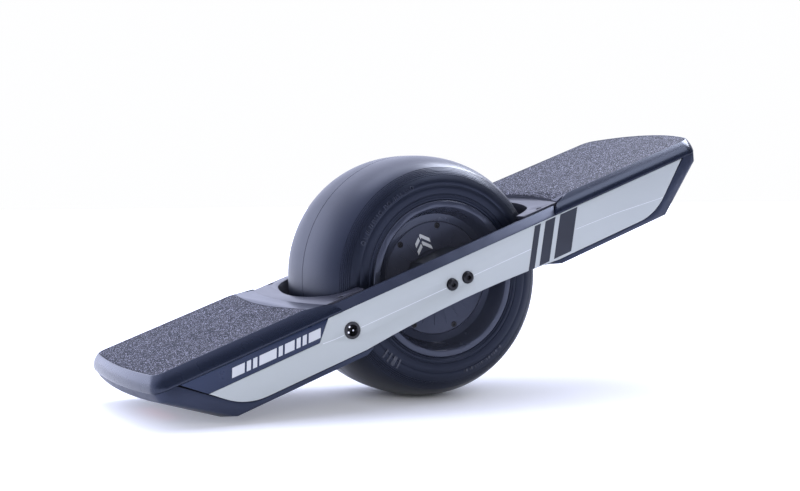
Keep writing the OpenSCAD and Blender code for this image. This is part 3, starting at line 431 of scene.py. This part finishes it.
def wall_mark(bm, side, middle, r0, r1, half_angle, lean_angle=0.0, lift=0.7):
    """Small raised bar on the tyre's side, at an angle in degrees seen in the row frame."""
    steps = 4
    corners = [(i / steps, -half_angle) for i in range(steps + 1)]
    corners += [(f, half_angle) for f, _ in reversed(corners)]
    rows = []
    for depth in (-MARK_SINK, lift):
        row = []
        for f, beside in corners:
            r = r0 + (r1 - r0) * f
            a = math.radians(middle + lean_angle * (f - 0.5) + beside) - TILT
            y = side * (wall_y(r) + depth)
            row.append(bm.verts.new(BOARD @ Vector((r * math.cos(a), y, r * math.sin(a)))))
        rows.append(row)
    grid_faces(bm, rows, False, True)
    for row in rows:
        n = len(row)
        for i in range(n // 2 - 1):
            bm.faces.new((row[i], row[i + 1], row[n - 2 - i], row[n - 1 - i]))


def wall_ring(bm, side, angle, radius, centre_r, width, lift=0.8):
    """Small raised ring on the tyre's side."""
    rows = []
    segments = 14
    inner = radius - width
    a0 = math.radians(angle) - TILT
    u = Vector((math.cos(a0), 0, math.sin(a0)))
    v = Vector((-math.sin(a0), 0, math.cos(a0)))
    for i in range(segments):
        b = 2 * math.pi * i / segments
        row = []
        for rr, up in ((inner, -MARK_SINK), (inner, lift), (radius, lift), (radius, -MARK_SINK)):
            p = u * (centre_r + rr * math.cos(b)) + v * (rr * math.sin(b))
            y = side * (wall_y(math.hypot(p.x, p.z)) + up)
            row.append(bm.verts.new(BOARD @ Vector((p.x, y, p.z))))
        rows.append(row)
    grid_faces(bm, rows, True, True)


# Generic marks in place of the tyre's moulded words: rings and rows of bars, at angles in degrees.
RING_ANGLES = (112.3, 129.4, 137.1, 157.4)
BAR_ROWS = ((114.8, 127.0), (131.6, 134.9), (139.6, 155.0))
BIG_BARS, BIG_BARS_FROM, BIG_BARS_PITCH = (1.1, 1.1, 2.4, 1.1), -133.0, 3.6
LOW_ROW = (-76.0, -46.0)

bm = bmesh.new()
draw = random.Random(11)
for side in (-1, 1):
    for ring_angle in RING_ANGLES:
        wall_ring(bm, side, ring_angle, 2.6, 114.0, 0.9)
    for start, end in BAR_ROWS:
        angle = start
        while angle < end:
            width = draw.choice((0.25, 0.4, 0.7))
            wall_mark(bm, side, angle, 111.6, 116.2, width / 2, draw.choice((-0.6, 0, 0.6)))
            angle += width + 0.95
    for k, width in enumerate(BIG_BARS):
        wall_mark(bm, side, BIG_BARS_FROM + BIG_BARS_PITCH * k, 107.5, 118.5, width / 2, 0.8)
    angle = LOW_ROW[0]
    while angle < LOW_ROW[1]:
        width = draw.choice((0.4, 0.8, 1.2))
        wall_mark(bm, side, angle, 110.8, 114.6, width / 2)
        angle += width + 1.1
# Their lighter rubber paints the marks' highlights.
piece("tyre_marks", bm, "tyre", RAISED_HIGHLIGHT, smooth=25)


# ---- bumpers ----------------------------------------------------------------------------------

HALF_W, PAD_HALF, DECK = 118.0, 107.0, 41.3       # half widths of board and footpad, deck height
RIM = 2.5                                         # width of the bumper's top beyond the footpad
# Each end as drawn for the nose: its length, the radii of its front and corners, how far its top edge
# stands back, where its ramp ends and its tape's seam lies, and the way it is turned.
ENDS = {
    "front": dict(length=396.0, crown=290.0, corner=20.0, inset=3.0, ramp=178.0, seam=172.0, turn=1),
    "rear": dict(length=382.0, crown=870.0, corner=16.0, inset=8.5, ramp=190.0, seam=195.3, turn=-1),
}
ARM_KNOTS = ((26.0, 148.6), (35.8, 156.6))        # (height, start of the bumper's arm) under the deck
BUMPER_LOW, BUMPER_SLOPE, BUMPER_TOP = 24.3, 9.5, DECK - 0.02
BULGE_Z, BULGE_STEPS = 33.0, 13                   # height of the side curve's control point


def end_outline(end, start, half, inset, corner_points=12, crown_points=20):
    """Plan outline of an end: straight sides, round corners and a bulging front."""
    xe, crown_r = end["length"] - inset, end["crown"]
    r = end["corner"] - min(inset, 4)
    centre = xe - crown_r
    cx = centre + math.sqrt((crown_r - r) ** 2 - (half - r) ** 2)
    at = math.atan2(half - r, cx - centre)
    side = [(start, half)]
    for i in range(corner_points + 1):
        a = math.radians(90) + (at - math.radians(90)) * i / corner_points
        side.append((cx + r * math.cos(a), half - r + r * math.sin(a)))
    for i in range(1, crown_points + 1):
        a = at * (1 - i / crown_points)
        side.append((centre + crown_r * math.cos(a), crown_r * math.sin(a)))
    return side + [(x, -y) for x, y in reversed(side[:-1])]


def arm_start(end, z):
    """Where a bumper's arm starts along the board at height z."""
    knots = [*ARM_KNOTS, (DECK, end["ramp"])]
    if z <= knots[0][0]:
        return knots[0][1]
    for (z0, x0), (z1, x1) in zip(knots, knots[1:]):
        if z <= z1:
            return x0 + (x1 - x0) * (z - z0) / (z1 - z0)
    return knots[-1][1]


def bumper_section(end):
    """Rings of the bumper as (half width, inset from the end, height), up the outside, down the inside."""
    low, slope, top = BUMPER_LOW, BUMPER_SLOPE, BUMPER_TOP
    rings = [(HALF_W - 0.5, 0.5, low), (HALF_W - 0.12, 0.12, low + 0.15), (HALF_W, 0.0, low + 0.6)]
    for i in range(1, BULGE_STEPS):
        t = i / BULGE_STEPS
        bulge = 2 * t * (1 - t)
        w = HALF_W * (1 - t) ** 2 + (HALF_W - 0.2) * bulge + (HALF_W - slope + 0.5) * t * t
        inset = 0.1 * bulge + (end["inset"] - 0.1) * t * t
        rings.append((w, inset, (low + 0.6) * (1 - t) ** 2 + BULGE_Z * bulge + (top - 0.5) * t * t))
    lip = end["inset"] + RIM
    return rings + [
        (HALF_W - slope + 0.3, end["inset"] + 0.1, top - 0.35),
        (HALF_W - slope - 0.1, end["inset"] + 0.6, top),
        (PAD_HALF + 0.75, lip - 0.75, top),
        (PAD_HALF + 0.42, lip - 0.42, top - 0.3),
        (PAD_HALF + 0.35, lip - 0.35, top - 1.2),
        (PAD_HALF + 0.35, lip - 0.35, low),
    ]


def placed(end, x, y, z):
    """A point drawn for the nose, turned round for the tail."""
    return BOARD @ Vector((end["turn"] * x, end["turn"] * y, z))


for label, end in ENDS.items():
    bm = bmesh.new()
    rows = []
    for half, inset, z in bumper_section(end):
        outline = end_outline(end, arm_start(end, z), half, inset)
        rows.append([bm.verts.new(placed(end, x, y, z)) for x, y in outline])
    grid_faces(bm, rows, True, False)
    for index in (0, -1):
        bmesh.ops.triangulate(bm, faces=[bm.faces.new([row[index] for row in rows])])
    piece(f"{label}_bumper_shell", bm, f"{label}_bumper", stands_for=(f"{label}_bumper",), smooth=35)


# ---- grip tape --------------------------------------------------------------------------------

GRIT = random.Random(5)
GRIT_DEPTH, EDGE_DROP, SHEET_DEPTH = 0.30, 0.35, 0.9
CELLS, CROWDING = 150, 1.06                       # grid of the sheet, and how it crowds at the edges
GAP = 0.3                                         # between the tape and what surrounds it
SEAM_R = 500.0
RAMP = (159.0, 35.8)                              # where the ramp beside the wheel starts, and its height
CORNER = 14                                       # width of the corner cut from the front tape


def tape_start(end, y):
    """Inner edge of the tape along the board at y, on the seam's arc."""
    x = end["seam"] - SEAM_R + math.sqrt(SEAM_R ** 2 - y * y)
    if end is ENDS["front"]:
        x += GAP
        away = (abs(y) - (PAD_HALF - CORNER)) / CORNER
        x = max(x, RAMP[0] + 4.6 + away * (end["ramp"] - RAMP[0] - 4)) if away > 0 else x
    return x


def tape_end(end, y):
    """Outer edge of the tape at y: the inset plan outline of the end."""
    outline = end_outline(end, 150.0, PAD_HALF - GAP, end["inset"] + RIM + GAP, 16, 24)
    y = min(abs(y), outline[1][1] - 1e-4)
    for (x0, y0), (x1, y1) in zip(outline, outline[1:]):
        if y1 <= y <= y0 and y0 > y1:
            return x0 + (x1 - x0) * (y0 - y) / (y0 - y1)
    return outline[len(outline) // 2][0]


def deck_height(end, x):
    """Height of the deck's surface at x, with the ramp beside the wheel."""
    return min(DECK, RAMP[1] + (DECK - RAMP[1]) * (x - RAMP[0]) / (end["ramp"] - RAMP[0]))


for label, end in ENDS.items():
    bm = bmesh.new()
    tops, lows = [], []
    for i in range(CELLS + 1):
        f = 2 * i / CELLS - 1
        y = (PAD_HALF - GAP) * (1 - (1 - abs(f)) ** CROWDING) * (1 if f > 0 else -1)
        x0, x1 = tape_start(end, y), tape_end(end, y)
        x1 = max(x1, x0 + 2)
        top, low = [], []
        for j in range(CELLS + 1):
            x = x0 + (x1 - x0) * j / CELLS
            z = deck_height(end, x)
            on_edge = i in (0, CELLS) or j in (0, CELLS)
            grit = -EDGE_DROP if on_edge else -GRIT_DEPTH * GRIT.random() ** 2
            top.append(bm.verts.new(placed(end, x, y, z + grit)))
            low.append(bm.verts.new(placed(end, x, y, z - SHEET_DEPTH)))
        tops.append(top)
        lows.append(low)
    grid_faces(bm, tops, False, False)
    grid_faces(bm, lows, False, False)
    for at in (0, -1):
        grid_faces(bm, [tops[at], lows[at]], False, False)
    for at in (0, -1):
        grid_faces(bm, [[row[at] for row in tops], [row[at] for row in lows]], False, False)
    piece(f"{label}_grip_sheet", bm, f"{label}_grip_tape", stands_for=(f"{label}_grip_tape",), smooth=60)


# ---- CAD solids with rounded edges ------------------------------------------------------------

ROUNDING = {
    "front_skid": 1.6, "rear_skid": 1.6, "right_rail": 0.35, "left_rail": 0.35,
    "front_wheel_surround": 0.6, "rear_wheel_surround": 0.6, "front_footpad": 0.35, "rear_footpad": 0.35,
    "right_rail_guard": 0.25, "left_rail_guard": 0.25, "right_badge_panel": 0.25, "left_badge_panel": 0.25,
    "motor_shell": 0.4, "axle_bolts": 0.3, "cover_screws": 0.15, "surround_screws": 0.15,
}
PANEL_SINK, SKID_FLUSH = 0.1, 2.8
for node, width in ROUNDING.items():
    refined(node, width, sink=PANEL_SINK if node.endswith(("guard", "panel")) else 0,
            flush=SKID_FLUSH if "skid" in node else 0)


# ---- painted crease highlights and generic marks ----------------------------------------------

def strip(points, half_width):
    """Outline of a thin line through (x, z) points."""
    return [(x, z + half_width) for x, z in points] + [(x, z - half_width) for x, z in reversed(points)]


INLAY = 0.2                                       # thickness of a mark on a guard or a panel
CREASE_HALF = 0.32
# The crease is a thin pale strip that paints the highlight along the guard's bend. It runs in stretches, clear of
# the charge socket, the axle bolts, the bars and the button.
CREASE_ENDS = ([(-183, 0.2), (-168, -1), (-156, -1)], [(-134, -1), (-19, -1)],
               [(168.5, -1.8), (232, -4.7), (303, -11.5)])
CREASE_MIDDLE = {-1: [[(19, -1), (101.5, -1)]], 1: [[(19, -1), (51.5, -1)], [(118.5, -1), (132, -1)]]}
BARS = ((106, 9), (122, 15), (144, 26))           # (place, width)
# The left guard's bars stand further from the nose, clear of the power button there.
BAR_SHIFT = {-1: 0, 1: -50}
BLOCKS, BLOCKS_FROM, BLOCK_GAP = (15, 5, 5, 21, 5, 12, 5, 5, 15), -292.0, 2.6
COVER_FACE = 61.0
COVER_RIBS, RIB_FROM, RIB_TO, RIB_HALF = 21, 38, 56, 0.7

for side, name in ((-1, "right"), (1, "left")):
    y, lift = side * (HALF_W - INLAY), side * INLAY
    bm = bmesh.new()
    for stretch in (*CREASE_ENDS[:2], *CREASE_MIDDLE[side], CREASE_ENDS[2]):
        plate(bm, strip(stretch, CREASE_HALF), y, lift)
    piece(f"{name}_guard_crease_highlight", bm, f"{name}_rail_guard", CREASE_HIGHLIGHT)

    bm = bmesh.new()
    for x, width in BARS:
        low, high = x + BAR_SHIFT[side] - 16, x + BAR_SHIFT[side] + 10
        plate(bm, [(low, -24), (high, 22.5), (high + width, 22.5), (low + width, -24)], y, lift)
    piece(f"{name}_guard_mark", bm, f"{name}_rail_guard", MARK_DARK)

    bm = bmesh.new()
    x = BLOCKS_FROM
    for width in BLOCKS:
        plate(bm, [(x, 7.5), (x + 4, 17.5), (x + 4 + width, 17.5), (x + width, 7.5)], y, lift)
        x += width + BLOCK_GAP
    piece(f"{name}_badge_mark", bm, f"{name}_badge_panel", MARK_PALE)

    bm = bmesh.new()
    for z0 in (33, 42):
        plate(bm, [(-12, z0), (-2, z0 + 9), (8, z0), (8, z0 + 5), (-2, z0 + 14), (-12, z0 + 5)],
              side * (COVER_FACE - 0.05), side * 0.15)
    piece(f"{name}_hub_mark", bm, f"{name}_motor_cover", MARK_PALE)

    bm = bmesh.new()
    for k in range(COVER_RIBS):
        a = math.radians(95 + k * 360 / COVER_RIBS)
        along = Vector((math.cos(a), 0, math.sin(a)))
        beside = Vector((-math.sin(a), 0, math.cos(a))) * RIB_HALF
        corners = [along * RIB_FROM - beside, along * RIB_TO - beside,
                   along * RIB_TO + beside, along * RIB_FROM + beside]
        plate(bm, [(c.x, c.z) for c in corners], side * (COVER_FACE - 0.3), side * 0.8)
    piece(f"{name}_cover_ribs", bm, f"{name}_motor_cover", COVER)


# ---- floor ------------------------------------------------------------------------------------

# The floor glows faintly, more with distance from the axle: next to nothing under the wheel, which paints
# a contact shadow round it, and enough at GLOW_REACH metres to meet the backdrop.
FLOOR_HALF, GLOW_REACH = 9.0, 2.5
GLOW_AND_PAINTED_SHADE = ((0.012, 0.02), (0.04, 0.22), (0.2, 0.38))            # (share of GLOW_REACH, strength)
# The glow's bluish colour tints that painted shadow.
GLOW_COLOUR = (0.87, 0.895, 1.0, 1)

floor_mesh = bpy.data.meshes.new("floor")
floor_mesh.from_pydata([(-FLOOR_HALF, -FLOOR_HALF, 0), (FLOOR_HALF, -FLOOR_HALF, 0),
                        (FLOOR_HALF, FLOOR_HALF, 0), (-FLOOR_HALF, FLOOR_HALF, 0)], [], [(0, 1, 2, 3)])
floor = bpy.data.objects.new("floor", floor_mesh)
scene.collection.objects.link(floor)
floor_look = material("floor_paint", (0.86, 0.87, 0.9), 0.8, shift=0.004, patch=0.8, relief=0.0,
                      rough_shift=0.02, specular=0.1)
f_nodes, f_links = floor_look.node_tree.nodes, floor_look.node_tree.links
distance = f_nodes.new("ShaderNodeVectorMath")
distance.operation = "LENGTH"
f_links.new(f_nodes.new("ShaderNodeTexCoord").outputs["Object"], distance.inputs[0])
reach = f_nodes.new("ShaderNodeMath")
reach.operation = "MULTIPLY"
reach.inputs[1].default_value = 1 / GLOW_REACH
f_links.new(distance.outputs["Value"], reach.inputs[0])
glow_and_painted_shade = f_nodes.new("ShaderNodeValToRGB")
fade = glow_and_painted_shade.color_ramp.elements
for at, value in GLOW_AND_PAINTED_SHADE:
    fade.new(at).color = (value, value, value, 1)
fade[0].color, fade[-1].color = (0, 0, 0, 1), (1, 1, 1, 1)
f_links.new(reach.outputs["Value"], glow_and_painted_shade.inputs["Fac"])
paint = f_nodes["Principled BSDF"]
paint.inputs["Emission Color"].default_value = GLOW_COLOUR
f_links.new(glow_and_painted_shade.outputs["Color"], paint.inputs["Emission Strength"])
floor_mesh.materials.append(floor_look)
